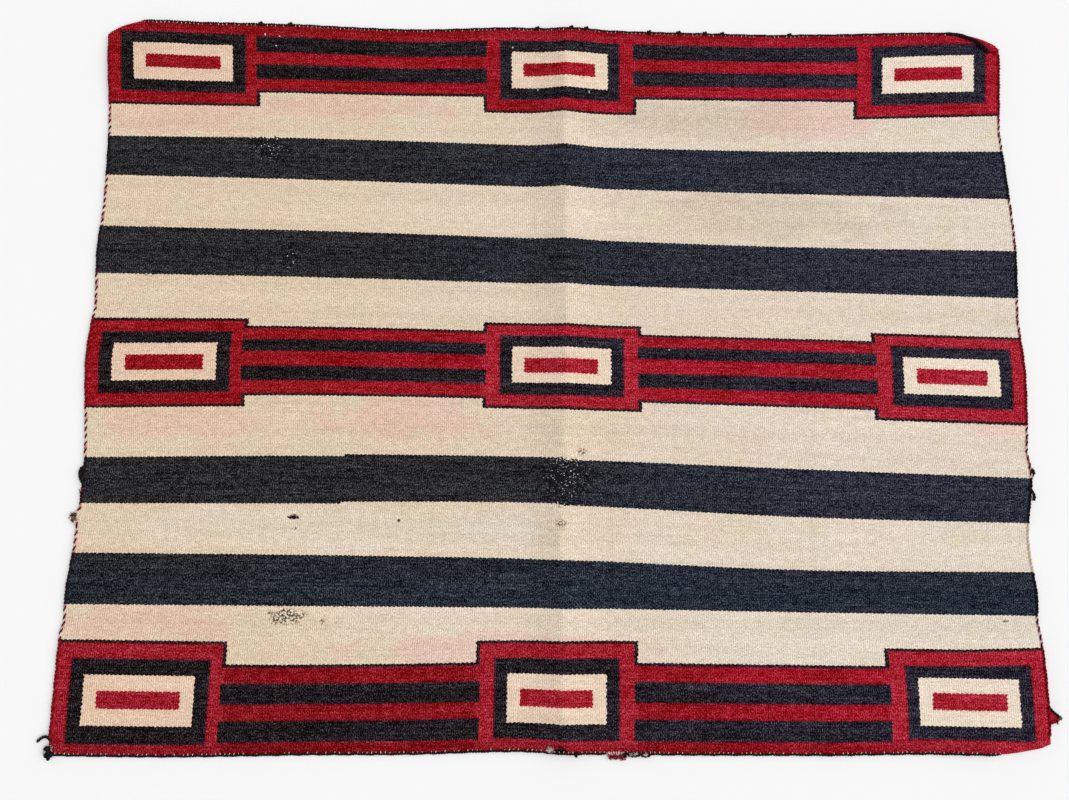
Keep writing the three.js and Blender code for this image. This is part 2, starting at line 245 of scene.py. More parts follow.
def flat_weave():
    """The weave as a flat grid with a column for every rib and hollow, cut along the bends of the corners."""
    columns = 2 * round(WIDTH / WARP_PITCH)
    u = np.linspace(-WIDTH / 2, WIDTH / 2, columns + 1)
    v = np.union1d(np.linspace(NEAR_V, FAR_V, ROWS), PULL_ROWS)
    grid = bmesh.new()
    rows = [[grid.verts.new((a, b, 0)) for a in u] for b in v]
    for low, high in zip(rows, rows[1:]):
        for i in range(columns):
            grid.faces.new((low[i], low[i + 1], high[i + 1], high[i]))
    for corner in TURNED_CORNERS:
        start, end = (np.array(in_weave(point)) for point in corner["crease"])
        outward = along_crease(start, end)[1]
        hinge = start - outward * (LAYER_GAP / 2 + CLOTH_THICKNESS)
        reach = math.pi * BEND_RADIUS + max(row[1] for row in corner["swell"])
        cuts = round(reach / BEND_CUT)
        for cut in range(cuts + 1):
            place = hinge + outward * (reach * cut / cuts)
            close = [f for f in grid.faces if math.dist(f.calc_center_median()[:2], hinge) < CUT_REACH]
            parts = set(close)
            parts.update(edge for f in close for edge in f.edges)
            parts.update(vert for f in close for vert in f.verts)
            bmesh.ops.bisect_plane(
                grid, geom=list(parts), dist=1e-6, plane_co=(place[0], place[1], 0),
                plane_no=(outward[0], outward[1], 0),
            )
    grid.verts.index_update()
    places = np.array([vert.co[:2] for vert in grid.verts])
    faces = [[vert.index for vert in face.verts] for face in grid.faces]
    rim = [tuple(vert.index for vert in loop.edge.verts) if loop.vert == loop.edge.verts[0]
           else tuple(vert.index for vert in reversed(loop.edge.verts))
           for face in grid.faces for loop in face.loops if loop.edge.is_boundary]
    grid.free()
    return places, faces, rim


def cloth_mesh(name):
    """The closed sheet on that grid: its upper face, its lower face and the wall round its edge."""
    weave, faces, rim = flat_weave()
    x, y = on_floor(weave[:, 0], weave[:, 1])
    z = stands_off(x, y)
    lean_x = (stands_off(x + SLOPE_STEP, y) - stands_off(x - SLOPE_STEP, y)) / (2 * SLOPE_STEP)
    lean_y = (stands_off(x, y + SLOPE_STEP) - stands_off(x, y - SLOPE_STEP)) / (2 * SLOPE_STEP)
    out = np.stack([-lean_x, -lean_y, np.ones_like(z)], axis=1)
    out /= np.linalg.norm(out, axis=1)[:, None]
    middle = np.stack([x, y, z + CLOTH_THICKNESS / 2], axis=1)
    for corner in TURNED_CORNERS:
        turned(middle, out, corner)
    count = len(weave)
    places = np.concatenate([middle + out * CLOTH_THICKNESS / 2, middle - out * CLOTH_THICKNESS / 2])
    places[:, 2] = np.maximum(places[:, 2], 0)
    looks = np.concatenate([out, -out])
    weave = np.concatenate([weave, weave])
    faces = faces + [[i + count for i in reversed(face)] for face in faces]
    faces += [[b, a, a + count, b + count] for a, b in rim]
    # The tip of the near right corner, a scrap of the red border that shows from under the edge.
    tip = np.array(TIP_OUTLINE)
    base = len(places)
    for level in (0.0, CLOTH_THICKNESS):
        places = np.concatenate([places, np.column_stack([tip, np.full(len(tip), level)])])
        looks = np.concatenate([looks, np.tile([0, 0, -1.0 if level == 0 else 1.0], (len(tip), 1))])
        weave = np.concatenate([weave, np.column_stack([tip[:, 0] - TIP_ASIDE, np.full(len(tip), TIP_V)])])
    ring = list(range(len(tip)))
    faces.append([base + i for i in reversed(ring)])
    faces.append([base + len(tip) + i for i in ring])
    for i in ring:
        j = (i + 1) % len(tip)
        faces.append([base + i, base + j, base + len(tip) + j, base + len(tip) + i])
    mesh = bpy.data.meshes.new(name)
    mesh.from_pydata(places.tolist(), [], faces)
    corner_of = np.empty(len(mesh.loops), np.int32)
    mesh.loops.foreach_get("vertex_index", corner_of)
    woven = mesh.uv_layers.new(name="weave")
    woven.data.foreach_set("uv", weave[corner_of].astype(np.float32).ravel())
    spread = np.stack([weave[:, 0] / WIDTH + 0.5, (weave[:, 1] - NEAR_V) / (FAR_V - NEAR_V)], axis=1)
    baked = mesh.uv_layers.new(name="OFBake")
    spread = BAKE_MARGIN + (1 - 2 * BAKE_MARGIN) * spread[corner_of]
    baked.data.foreach_set("uv", spread.astype(np.float32).ravel())
    mesh.uv_layers.active = woven
    woven.active_render = True
    warp = mesh.attributes.new("warp", "FLOAT", "POINT")
    warp.data.foreach_set("value", ((weave[:, 0] + WIDTH / 2) / WARP_PITCH).astype(np.float32))
    face_out = mesh.attributes.new("face_out", "FLOAT_VECTOR", "POINT")
    face_out.data.foreach_set("vector", looks.astype(np.float32).ravel())
    mesh.shade_smooth()
    return mesh


class Socket:
    """An output of a node: arithmetic on it adds Math nodes to its tree."""

    def __init__(self, tree, socket):
        self.tree = tree
        self.socket = socket

    def node(self, kind, settings, sockets, output=0):
        made = self.tree.nodes.new(kind)
        for name, value in settings.items():
            setattr(made, name, value)
        for key, value in sockets.items():
            if isinstance(value, Socket):
                self.tree.links.new(value.socket, made.inputs[key])
            else:
                made.inputs[key].default_value = value
        return Socket(self.tree, made.outputs[output])

    def math(self, operation, *values):
        return self.node("ShaderNodeMath", {"operation": operation}, dict(enumerate(values)))

    def __add__(self, other):
        return self.math("ADD", self, other)

    def __radd__(self, other):
        return self.math("ADD", other, self)

    def __sub__(self, other):
        return self.math("SUBTRACT", self, other)

    def __rsub__(self, other):
        return self.math("SUBTRACT", other, self)

    def __mul__(self, other):
        return self.math("MULTIPLY", self, other)

    def __rmul__(self, other):
        return self.math("MULTIPLY", other, self)

    def __truediv__(self, other):
        return self.math("DIVIDE", self, other)

    def __neg__(self):
        return self.math("MULTIPLY", self, -1.0)

    def __gt__(self, other):
        return self.math("GREATER_THAN", self, other)

    def __lt__(self, other):
        return self.math("LESS_THAN", self, other)

    def vector(self, operation, *values, output=0):
        return self.node("ShaderNodeVectorMath", {"operation": operation}, dict(enumerate(values)), output)

    def scaled(self, factor):
        return self.node("ShaderNodeVectorMath", {"operation": "SCALE"}, {0: self, "Scale": factor})

    def mixed(self, first, second):
        """The colour between two, with this value as the share of the second."""
        return self.node("ShaderNodeMix", {"data_type": "RGBA"}, {0: self, 6: first, 7: second}, 2)

    def rising(self, low, high, start=0.0, end=1.0):
        """One number below low, another above high, and smooth between."""
        return self.node(
            "ShaderNodeMapRange", {"interpolation_type": "SMOOTHSTEP"},
            {0: self, 1: low, 2: high, 3: start, 4: end},
        )


def dyed(red, green, blue):
    """A colour as seen, from its three parts out of 255, in the shader's own scale."""
    parts = [part / 255 for part in (red, green, blue)]
    return [part / 12.92 if part <= 0.04045 else ((part + 0.055) / 1.055) ** 2.4 for part in parts] + [1.0]


def new_wool(name):
    """A bare wool material, its shader, and a socket to start the sums from."""
    material = bpy.data.materials.new(name)
    material.use_nodes = True
    shader = material.node_tree.nodes["Principled BSDF"]
    shader.inputs["Roughness"].default_value = 0.92
    shader.inputs["Specular IOR Level"].default_value = 0.03
    return material, shader, Socket(material.node_tree, None)


def end_wool(shader, colour, height, strength, depth):
    """Ends a wool material with its colour and the bump of its fibres."""
    colour.tree.links.new(colour.socket, shader.inputs["Base Color"])
    bump = height.node("ShaderNodeBump", {}, {"Strength": strength, "Distance": depth, "Height": height})
    height.tree.links.new(bump.socket, shader.inputs["Normal"])


def charted(place, edges, soft=0.0, plain=None):
    """A number that steps along the cloth: (where, the number from there on), the first row from the start.
    A soft step is spread out to both sides. Steps between 2 and 3 are taken on the plain place, if any."""
    number = edges[0][1]
    for (where, after), (_, before) in zip(edges[1:], edges):
        if after != before:
            at = plain if plain and {before, after} == {2, 3} else place
            step = at.rising(where - soft, where + soft) if soft else at > where
            number = step.math("MULTIPLY_ADD", step, after - before, number)
    return number


# The chart between the boxes, from the near end: 0 is cream, 1 black, 2 charcoal and 3 red.
BAND_CHART = [
    (-1.0, 3), (-0.6885, 2), (-0.651, 3), (-0.6215, 2), (-0.585, 3), (-0.5563, 2), (-0.551, 0),
    (-0.4515, 1), (-0.363, 0), (-0.267, 1), (-0.178, 0),
    (-0.062, 2), (-0.0573, 3), (-0.032, 2), (-0.004, 3), (0.025, 2), (0.0485, 3), (0.0693, 2), (0.074, 0),
    (0.1725, 1), (0.268, 0), (0.375, 1), (0.464, 0),
    (0.567, 2), (0.5727, 3), (0.597, 2), (0.629, 3), (0.656, 2), (0.690, 3),
]
# How deep in a box a place is, across and along: 1 is its outline, 2 its red frame, 3 the charcoal ring,
# 4 the cream field and 5 the red bar. A place is as deep as the lesser of the two. Across, the joins with
# a clear comb of dovetails are charted apart from those of ring and frame, where the wefts are
# interlocked, and the two are added.
RING_ACROSS = [
    (-1.0, 2), (-0.889, 3), (-0.634, 2), (-0.108, 3), (0.133, 2), (0.656, 3), (0.888, 2),
]
FIELD_ACROSS = [
    (-1.0, 0), (-0.863, 1), (-0.838, 2), (-0.686, 1), (-0.661, 0), (-0.612, -1), (-0.605, -2), (-0.142, -1),
    (-0.135, 0), (-0.084, 1), (-0.060, 2), (0.083, 1), (0.109, 0), (0.161, -1), (0.168, -2), (0.619, -1),
    (0.627, 0), (0.678, 1), (0.703, 2), (0.840, 1), (0.864, 0),
]
# The boxes of the far and the near row were begun a little to one side: how far, across the cloth.
FAR_ASIDE = [(-1.0, 0.0010), (-0.4, -0.002), (0.0, 0.0015), (0.4, -0.004), (0.77, -0.0025)]
NEAR_ASIDE = [(-1.0, 0.003), (-0.76, 0.005), (0.0, -0.005), (0.4, 0.001), (0.77, -0.002)]
BOX_ALONG = [
    (-1.0, 2), (-0.688, 3), (-0.6595, 4), (-0.6305, 5), (-0.5995, 4), (-0.572, 3), (-0.544, 2), (-0.517, 1),
    (-0.5115, 0), (-0.0805, 1), (-0.075, 2), (-0.052, 3), (-0.028, 4), (-0.008, 5), (0.0215, 4), (0.0435, 3),
    (0.0655, 2), (0.0855, 1), (0.091, 0), (0.533, 1), (0.5385, 2), (0.562, 3), (0.587, 4), (0.613, 5),
    (0.641, 4), (0.6655, 3), (0.690, 2),
]
ROW_PARTING = 0.3  # along, between the middle row of boxes and the two others
BOX_PARTING = 0.4  # across, between the boxes of a row
NEAR_FRAME = -0.67  # the frames of the near row from here to the near end
TOOTH_LENGTH = 0.0016  # a weft edge steps up and down by this from warp to warp
JOIN_TOOTH = 0.0020  # and two colours that meet along the warps are dovetailed by this
JOIN_PITCH = 0.0040
PICK = 0.0015  # from one weft to the next on the same warp
DYE_REACH = 0.0045  # of the red into the dark wool beside it

# Wear, as (x, y, half across, half along): moth damage in the black wool, darning stitches, the worn mesh in
# the cream with painted shadow in its gaps, dark specks, soiled and faded places, holes painted dark as the
# shade in them, and the clouds where the red has run into the cream.
MOTH_EATEN = [
    (-0.575, 0.452, 0.055, 0.034), (-0.520, 0.222, 0.014, 0.034), (0.030, -0.205, 0.062, 0.056),
    (-0.797, 0.181, 0.012, 0.010),
]
STITCHES = [
    (-0.033, 0.582, 0.0013, 0.0042), (0.071, 0.577, 0.0013, 0.0042), (-0.086, 0.675, 0.0022, 0.0022),
    (0.229, 0.045, 0.0016, 0.0016), (-0.597, 0.699, 0.0018, 0.0032), (-0.567, 0.695, 0.0022, 0.0016),
    (-0.573, 0.674, 0.0022, 0.0018),
]
WORN_THIN = [(-0.492, -0.470, 0.040, 0.015)]
SPECKS = [
    (0.019, -0.2915, 0.015, 0.009), (0.059, -0.156, 0.012, 0.010), (-0.515, 0.203, 0.006, 0.005),
    (0.850, -0.464, 0.010, 0.004), (-0.425, -0.478, 0.006, 0.007), (-0.4865, -0.307, 0.008, 0.004),
]
SOILED = [(0.300, 0.525, 0.280, 0.050), (0.420, 0.322, 0.300, 0.060)]
FADED = [(-0.420, -0.305, 0.520, 0.050), (-0.085, -0.306, 0.085, 0.017)]
HOLES = [
    (-0.489, -0.2855, 0.0130, 0.0058), (-0.289, -0.290, 0.0034, 0.0032), (0.021, -0.7012, 0.0140, 0.0090),
]
PINK_CLOUDS = [
    (-0.760, 0.515, 0.200, 0.050), (-0.420, 0.540, 0.220, 0.040), (0.520, 0.530, 0.170, 0.050),
    (-0.280, -0.095, 0.210, 0.050), (-0.720, -0.105, 0.190, 0.040), (-0.740, -0.490, 0.220, 0.050),
    (-0.100, -0.525, 0.300, 0.040), (0.890, -0.098, 0.100, 0.026),
    (-0.900, -0.325, 0.016, 0.045), (0.912, -0.150, 0.010, 0.030),
]


def tapestry_wool():
    """The cloth's own wool, charted on the weave: natural cream, black, charcoal and a red that has run; and
    painted shade.
    """
    material, shader, start = new_wool("tapestry_wool")
    woven = start.node("ShaderNodeUVMap", {"uv_map": "weave"}, {})
    u = woven.node("ShaderNodeSeparateXYZ", {}, {0: woven})
    v = Socket(u.tree, u.socket.node.outputs[1])

    def cloudy(u_scale, v_scale, detail, offset):
        place = u.node("ShaderNodeCombineXYZ", {}, {0: u * u_scale + offset, 1: v * v_scale + offset})
        return u.node("ShaderNodeTexNoise", {"noise_dimensions": "2D"},
                      {"Vector": place, "Scale": 1.0, "Detail": detail, "Roughness": 0.6})

    def tone(red, green, blue):
        return [part ** (1 / 2.2) for part in dyed(red, green, blue)]

    warp = u / WARP_PITCH
    broad = cloudy(3.2, 3.8, 2.0, 3.1)
    tint = cloudy(12.0, 16.0, 3.0, 21.3)
    band = cloudy(0.9, 36.0, 2.0, 11.7)
    streak = cloudy(9.0, 290.0, 1.0, 5.3)
    grain = cloudy(540.0, 330.0, 0.0, 8.9)
    batch = cloudy(6.0, 42.0, 2.0, 41.0)
    ragged = cloudy(75.0, 85.0, 2.0, 15.1)
    broken = cloudy(240.0, 260.0, 1.0, 31.9)
    pitted = cloudy(330.0, 350.0, 0.0, 51.7)
    jitter = cloudy(110.0, 30.0, 1.0, 2.2) - 0.5
    join_jitter = cloudy(30.0, 120.0, 1.0, 6.4) - 0.5
    cell = u.node("ShaderNodeCombineXYZ", {}, {
        0: warp.math("FLOOR", warp), 1: v.math("FLOOR", v / PICK + warp.math("FLOOR", warp) * 0.5),
    })
    bead = u.node("ShaderNodeTexWhiteNoise", {"noise_dimensions": "2D"}, {"Vector": cell}, 0)

    def patches(rows, edge, unevenness):
        rough = (edge - 0.5) * unevenness
        whole = 0.0
        for x, y, across, along in rows:
            place = in_weave((x, y))
            back = (-place[0] / across, -place[1] / along, 0)
            off = woven.vector("MULTIPLY_ADD", woven, (1 / across, 1 / along, 0), back)
            far = off.vector("DOT_PRODUCT", off, off, output=1)
            whole = (far + rough).rising(0.2, 1.0, 1.0, 0.0) + whole
        return whole

    moth = patches(MOTH_EATEN, ragged, 2.5)
    worn_mesh_and_gap_shade = patches(WORN_THIN, ragged, 2.0)
    speck = patches(SPECKS, broken, 2.5)
    stitch = patches(STITCHES, broken, 0.5)
    hole_shade = patches(HOLES, broken, 1.8)
    cloud = patches(PINK_CLOUDS, tint, 2.5)
    soiled = patches(SOILED, tint, 2.5)
    faded = patches(FADED, tint, 2.5)

    tooth = (warp.math("PINGPONG", warp, 1.0) - 0.5) * TOOTH_LENGTH + jitter * 0.0020
    dovetail = (v.math("PINGPONG", v / JOIN_PITCH, 1.0) - 0.5) * JOIN_TOOTH + join_jitter * 0.004
    pick = v.math("FLOOR", v / PICK)
    interlock = u.node("ShaderNodeTexWhiteNoise", {"noise_dimensions": "1D"}, {"W": pick}, 0) - 0.5
    far_row = v > ROW_PARTING
    near_row = v < -ROW_PARTING
    near_frame = v < NEAR_FRAME
    left_boxes = u < -BOX_PARTING
    aside = far_row * charted(u, FAR_ASIDE) + near_row * charted(u, NEAR_ASIDE)
    # Some boxes at the sides were not beaten down level, and a stretch of one stripe was built up more.
    sagging = u.math("MAXIMUM", (u - 0.92) * 0.045, -0.0068) * (v > -0.558) + near_frame * 0.0035
    askew = left_boxes * (far_row * 0.006 - 0.0025 + near_row * 0.0025 - near_frame * 0.003)
    askew = askew + (u > BOX_PARTING) * (far_row * (u - 0.70) * 0.04 + near_row * sagging)
    raised = (u > -0.411) * (u < 0.01) * (v > -0.32) * (v < -0.1) * 0.0035
    v_edge = v + tooth + moth * (broken - 0.5) * 0.024
    v_plain = v + jitter * 0.003
    across = charted(u - aside + interlock * 0.0045, RING_ACROSS)
    across = across + charted(u - aside + dovetail, FIELD_ACROSS)
    kind = charted(v_edge - raised, BAND_CHART, plain=v_plain)
    depth = kind.math("MINIMUM", across, charted(v_edge - askew, BOX_ALONG, plain=v_plain - askew))
    field = kind < 0.5
    boxed = depth > 0.5
    box_kind = (
        (depth < 1.5) * (kind + field * 2) + (depth > 1.5) * (depth < 2.5) * 3
        + (depth > 2.5) * (depth < 3.5) * 2 + (depth > 4.5) * 3
    )
    kind = kind + boxed * (box_kind - kind)
    # Where red and dark wool meet the dye has gone over from one to the other.
    ring_near = kind.math(
        "MINIMUM", charted(u - aside, RING_ACROSS, DYE_REACH),
        charted(v - askew, [(where, min(max(deep, 2), 3)) for where, deep in BOX_ALONG], DYE_REACH),
    ) - 2
    bar_near = charted(v - raised, [(where, float(deep == 3)) for where, deep in BAND_CHART], DYE_REACH)
    red_near = bar_near + (depth > 1.5) * (1 - ring_near - bar_near)

    in_field = (depth > 3.5) * (depth < 4.5)
    smear = (broken - 0.5) * 0.034
    bled = charted(u - aside + smear, [(where, float(deep == 2)) for where, deep in FIELD_ACROSS])
    bled = bled * charted(v - askew - smear, [(where, float(deep == 5)) for where, deep in BOX_ALONG])
    toward_right = (u + (broad - 0.5) * 1.2).rising(-0.8, 0.9)
    cream = toward_right.mixed(tone(226, 204, 178), tone(230, 215, 200))
    cream = (tint.rising(0.46, 0.72) * 0.6).mixed(cream, tone(223, 210, 181))
    cream = ((-v).rising(0.2, 0.5) * toward_right * 0.5).mixed(cream, tone(232, 220, 204))
    cream = (soiled * 0.5).mixed(cream, tone(206, 191, 170))
    cream = (faded * 0.6).mixed(cream, tone(228, 216, 198))
    cream = (in_field * 0.75).mixed(cream, toward_right.mixed(tone(230, 199, 172), tone(242, 228, 208)))
    run_in = (cloud * 0.34 + in_field * 0.05) * (0.4 + tint * 1.2) + in_field * bled * 0.55
    cream = run_in.mixed(cream, tone(232, 176, 164))
    near_end = (-v).rising(0.32, 0.42)
    black = (toward_right * 0.75 + batch * 0.5).rising(0.15, 1.0).mixed(tone(37, 36, 38), tone(40, 43, 56))
    black = (near_end * 0.5).mixed(black, tone(27, 38, 50))
    charcoal = (toward_right * 0.6 + batch * 0.6).rising(0.25, 0.95).mixed(tone(24, 17, 20), tone(36, 33, 46))
    red = (toward_right * 0.35 + tint).rising(0.40, 0.95).mixed(tone(142, 9, 18), tone(166, 19, 40))
    red = (near_end * (1 - toward_right) * 0.5).mixed(red, tone(112, 2, 10))
    lighter_lot = boxed * (1 - far_row) * (1 - left_boxes * (1 - near_row))
    red = (lighter_lot * 0.6).mixed(red, tone(172, 38, 54))
    charcoal = red_near.mixed(charcoal, tone(98, 16, 37))
    charcoal = (boxed * (depth < 1.5) * field * 0.8).mixed(charcoal, tone(44, 22, 26))
    red = ((1 - red_near) * (depth < 2.5)).mixed(red, tone(88, 12, 32))
    colour = (kind > 0.5).mixed(cream, black)
    colour = (kind > 1.5).mixed(colour, charcoal)
    colour = (kind > 2.5).mixed(colour, red)
    # Painted shade and light: the rib term darkens the colour in the hollows between the warps and lightens
    # it on the ribs.
    rib = warp.math("COSINE", warp * (2 * math.pi))
    dark = kind > 0.5
    uneven = (
        (grain - 0.5) * (dark * 0.19 + 0.31) + (bead - 0.5) * (dark * 0.02 + 0.05)
        + rib * (0.052 - dark * 0.012) + (streak - 0.5) * (dark * 0.11 + 0.07)
        + (ragged - 0.5) * (dark * 0.10 + 0.11) + (band - 0.5) * 0.07
    )
    shade = u.node("ShaderNodeCombineXYZ", {}, {0: uneven, 1: uneven, 2: uneven})
    colour = colour.vector("ADD", colour, shade)
    colour = colour.vector("MAXIMUM", colour, (0.03, 0.03, 0.03))
    fleck = dark.mixed(tone(150, 122, 96), (kind > 2.5).mixed(tone(128, 126, 134), tone(206, 118, 124)))
    # Wear lies over the weave, from flecks in the wool to the stitches on top. The gaps of the worn mesh and
    # the holes get painted shade.
    for share, over in (
        (pitted.rising(0.82, 0.88) * 0.6, fleck),
        (moth * dark * broken.rising(0.44, 0.52) * 0.7, tone(14, 13, 16)),
        (moth * dark * pitted.rising(0.735, 0.80) * (ragged > 0.48), tone(232, 230, 226)),
        # painted shadow in the gaps of the worn mesh
        (worn_mesh_and_gap_shade * broken.rising(0.48, 0.54), tone(76, 68, 50)),
        (worn_mesh_and_gap_shade * (1 - broken).rising(0.58, 0.66) * 0.7, tone(242, 232, 212)),
        (speck * broken.rising(0.46, 0.54) * 0.9, tone(76, 58, 44)),
        # painted shade in the holes
        (hole_shade, tone(32, 14, 16)),
        (stitch, tone(228, 218, 210)),
    ):
        colour = share.mixed(colour, over)
    colour = u.node("ShaderNodeGamma", {}, {"Color": colour, "Gamma": 2.2})
    height = v.math("PINGPONG", v / PICK + warp.math("FLOOR", warp) * 0.5, 0.5) + grain
    end_wool(shader, colour, height, 0.5, 0.0006)
    return material


def new_tree(name, inputs):
    """A Geometry Nodes tree with the inputs named, each of its own kind, and a socket for each of them."""
    tree = bpy.data.node_groups.new(name, "GeometryNodeTree")
    for label, kind in inputs.items():
        tree.interface.new_socket(label, in_out="INPUT", socket_type="NodeSocket" + kind)
    tree.interface.new_socket("Piece", in_out="OUTPUT", socket_type="NodeSocketGeometry")
    given = tree.nodes.new("NodeGroupInput")
    return [Socket(tree, given.outputs[label]) for label in inputs]


def end_tree(made, wool):
    """Ends a tree with what it has made, as plain geometry in its wool."""
    whole = made.node("GeometryNodeRealizeInstances", {}, {0: made})
    finished = whole.node("GeometryNodeSetMaterial", {}, {"Geometry": whole, "Material": wool})
    made.tree.links.new(finished.socket, made.tree.nodes.new("NodeGroupOutput").inputs[0])
    return made.tree


def rib_tree(wool):
    """Sinks the hollows between the warps into a sheet, on both of its faces."""
    sheet, depth = new_tree("warp_ribs", {"Sheet": "Geometry", "Rib Depth": "Float"})
    warp = sheet.node("GeometryNodeInputNamedAttribute", {"data_type": "FLOAT"}, {"Name": "warp"})
    out = sheet.node("GeometryNodeInputNamedAttribute", {"data_type": "FLOAT_VECTOR"}, {"Name": "face_out"})
    sunk = (warp.math("COSINE", warp * (2 * math.pi)) - 1) * 0.5 * depth
    ribbed = sheet.node("GeometryNodeSetPosition", {}, {"Geometry": sheet, "Offset": out.scaled(sunk)})
    return end_tree(ribbed, wool)


def grown(piece, tree, sizes):
    """Runs a piece through its Geometry Nodes and leaves the plain mesh that comes out."""
    modifier = piece.modifiers.new(tree.name, "NODES")
    modifier.node_group = tree
    for item in tree.interface.items_tree:
        if item.in_out == "INPUT" and item.name in sizes:
            modifier[item.identifier] = sizes[item.name]
    graph = bpy.context.evaluated_depsgraph_get()
    before = piece.data
    after = bpy.data.meshes.new_from_object(
        piece.evaluated_get(graph), preserve_all_data_layers=True, depsgraph=graph
    )
    piece.modifiers.remove(modifier)
    piece.data = after
    bpy.data.meshes.remove(before)
    after.name = piece.name
    after.shade_smooth()


def new_piece(name, mesh):
    piece = bpy.data.objects.new(name, mesh)
    bpy.context.scene.collection.objects.link(piece)
    return piece


cloth = new_piece("rug_cloth", cloth_mesh("rug_cloth"))
grown(cloth, rib_tree(tapestry_wool()), {"Rib Depth": RIB_DEPTH})
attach(cloth, "root")
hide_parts("woven_cloth")

# The end cords: two strands of dark wool twined round the warp loops along each end, a little thicker
# than the cloth. They were put on with the warp and hold the last wefts in. The loops show as pale dots
# between cord and cloth, and the cord is knotted where it was pieced.
END_STRAND = 0.0016
END_LAY = 0.0105  # along the cord in which a strand goes once round
END_OUT = 0.0020  # from the cloth's edge to the middle of the cord
END_POINTS = 260
NEAR_CORD = (-0.912, 0.826)  # both ends of each cord, across
FAR_CORD = (-0.836, 0.806)
CORD_STEP = 0.0013
LOOP_SPAN = (-0.9, 0.82)
LOOP_POINTS = 400
LOOP_SPACING = 0.0084
LOOP_RADIUS = 0.0012
LOOP_YARN = 0.0006
LOOP_IN = 0.0009  # from the cloth's edge
LOOP_SUNK = 0.0004
FAR_KNOTS = [-0.6075, -0.5457, -0.0355, 0.034, 0.065, 0.195, 0.2557, 0.310, 0.3455, 0.484]
NEAR_KNOTS = [0.0487, 0.1385]
END_KNOT_SIZE = 0.0013
END_KNOT_STRAND = 0.0010
END_KNOT_OUT = 0.0010  # beyond the middle of the cord
END_KNOT_RISE = 0.0042
KNOT_POINTS = 60
NEAR_LUMPS = [(0.1440, 0.1650), (0.1680, 0.1850)]
LUMP_STRAND = 0.0024
LUMP_OUT = 0.0024
LUMP_RISE = 0.0044
NEAR_BREAK = (0.104, 0.141)  # where the near cord has gone


def tube(line, sides, radius, **more):
    """A line as yarn of some radius, closed at both ends."""
    section = line.node("GeometryNodeCurvePrimitiveCircle", {"mode": "RADIUS"},
                        {"Resolution": sides, "Radius": radius})
    return line.node("GeometryNodeCurveToMesh", {},
                     {"Curve": line, "Profile Curve": section, "Fill Caps": True, **more})


def cord_tree(name, wool):
    """Two strands twined round a path, with the number of each strand kept for its colour."""
    path, radius, lay, step = new_tree(
        name, {"Path": "Geometry", "Strand Radius": "Float", "Lay": "Float", "Step": "Float"}
    )
    line = path.node("GeometryNodeMeshToCurve", {}, {0: path})
    line = line.node("GeometryNodeSetCurveNormal", {"mode": "Z_UP"}, {0: line})
    line = line.node("GeometryNodeResampleCurve", {"mode": "LENGTH"}, {"Curve": line, "Length": step})
    along = line.node("GeometryNodeSplineParameter", {}, {}, 1)
    normal = line.node("GeometryNodeInputNormal", {}, {})
    tangent = line.node("GeometryNodeInputTangent", {}, {})
    upward = normal.vector("CROSS_PRODUCT", tangent, normal)
    uneven = along.node("ShaderNodeTexNoise", {"noise_dimensions": "1D"},
                        {"W": along, "Scale": 160.0, "Detail": 1.0})
    strands = path.tree.nodes.new("GeometryNodeJoinGeometry")
    for strand in (0, 1):
        angle = along * (2 * math.pi) / lay + strand * math.pi + uneven * 1.2
        side = normal.scaled(angle.math("COSINE", angle) * radius * 0.8)
        rise = upward.scaled(angle.math("SINE", angle) * radius * 0.8)
        offset = side.vector("ADD", side, rise)
        wound = line.node("GeometryNodeSetPosition", {}, {"Geometry": line, "Offset": offset})
        for label, value in (("strand", float(strand)), ("along", along)):
            wound = wound.node("GeometryNodeStoreNamedAttribute", {"data_type": "FLOAT", "domain": "POINT"},
                               {"Geometry": wound, "Name": label, "Value": value})
        wound = wound.node("GeometryNodeSetCurveRadius", {}, {"Curve": wound, "Radius": 0.85 + uneven * 0.35})
        yarn = tube(wound, 5, radius, Scale=wound.node("GeometryNodeInputRadius", {}, {}))
        path.tree.links.new(yarn.socket, strands.inputs[0])
    return end_tree(Socket(path.tree, strands.outputs[0]), wool)


def twined_wool(name, first, second, beside=()):
    """Cord wool: a colour for each strand, lighter and darker along the yarn. Beside the black and the red
    wefts both strands take their colour, and beside the last kind of cream they are bare."""
    material, shader, start = new_wool(name)
    strand = start.node("ShaderNodeAttribute", {"attribute_name": "strand"}, {}, 2)
    along = start.node("ShaderNodeAttribute", {"attribute_name": "along"}, {}, 2)
    place = start.node("ShaderNodeTexCoord", {}, {}, 3)
    slow = along.node("ShaderNodeTexNoise", {"noise_dimensions": "1D"},
                      {"W": along, "Scale": 45.0, "Detail": 2.0})
    fibre = place.node("ShaderNodeTexNoise", {}, {"Vector": place, "Scale": 1400.0, "Detail": 1.0})
    colour = (strand > 0.5).mixed(first, second)
    if beside:
        colour = ((strand > 0.5) * slow.rising(0.40, 0.54)).mixed(colour, dyed(230, 192, 180))
        kind = charted(place.node("ShaderNodeSeparateXYZ", {}, {0: place}, 1), beside)
        colour = (kind > 0.5).mixed(colour, (strand > 0.5).mixed(dyed(24, 21, 24), dyed(38, 35, 38)))
        colour = (kind > 1.5).mixed(colour, (strand > 0.5).mixed(dyed(96, 14, 22), dyed(150, 24, 36)))
        colour = (kind > 2.5).mixed(colour, (strand > 0.5).mixed(dyed(206, 190, 168), dyed(228, 214, 194)))
    light = 0.55 + slow * 0.5 + fibre * 0.4
    shade = light.node("ShaderNodeCombineXYZ", {}, {0: light, 1: light, 2: light})
    end_wool(shader, colour.vector("MULTIPLY", colour, shade), fibre, 0.5, 0.0004)
    return material


